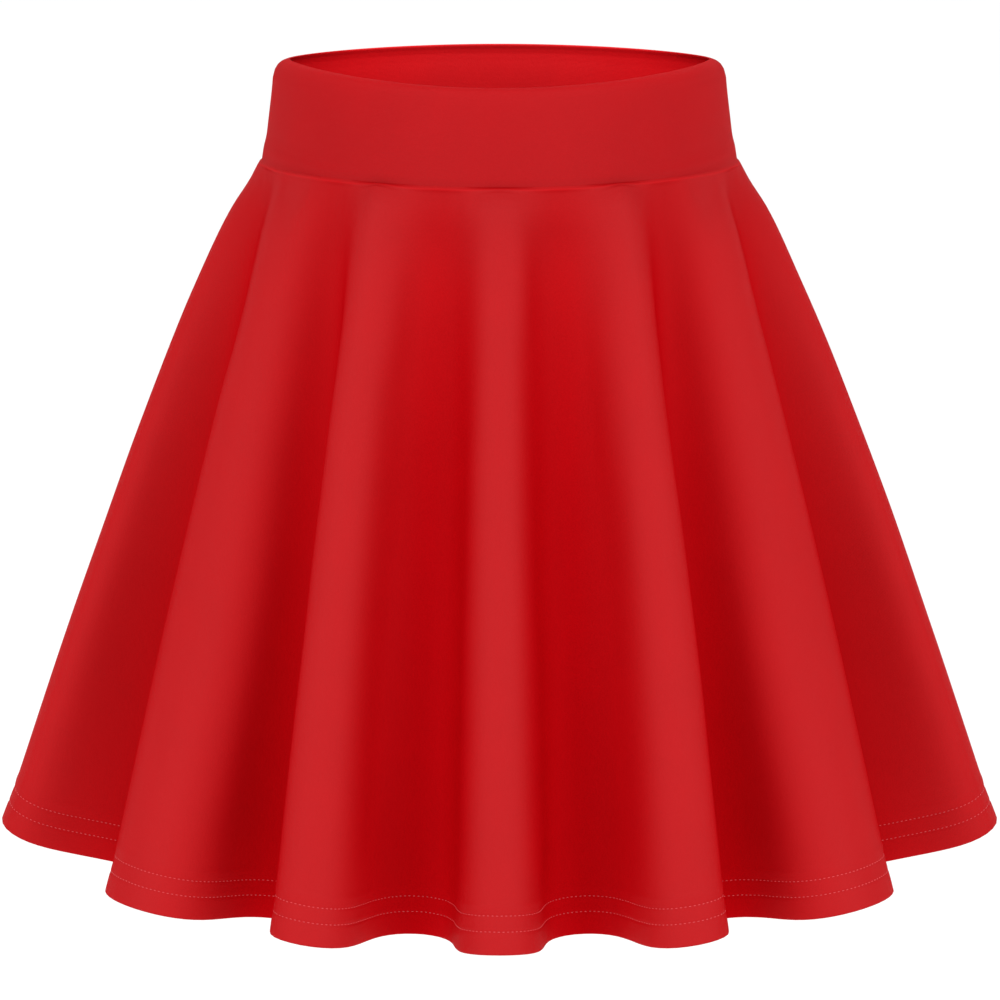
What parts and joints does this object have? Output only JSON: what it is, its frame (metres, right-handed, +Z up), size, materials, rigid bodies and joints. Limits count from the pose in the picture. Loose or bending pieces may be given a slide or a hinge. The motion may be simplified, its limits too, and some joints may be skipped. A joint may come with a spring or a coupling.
{
  "type": "circle skirt",
  "caption": "Short flared skirt with a wide plain waistband and soft hanging folds down to a turned-up, stitched hem.",
  "frame": {"origin": "middle of the open waist, at the height of the waistband's top edge at the front", "axes": "+Z up out of the waist, -Y towards the front of the skirt, +X towards the wearer's left side"},
  "size_m": [0.5475, 0.3236, 0.4534],
  "materials": {
    "band_cloth": "smooth matt red stretch knit, double layer",
    "skirt_cloth": "smooth matt red stretch knit, single layer"
  },
  "bodies": {
    "root": {"waistband_front": "band_cloth", "waistband_back": "band_cloth", "skirt_front": "skirt_cloth", "skirt_back": "skirt_cloth"}
  },
  "joints": []
}
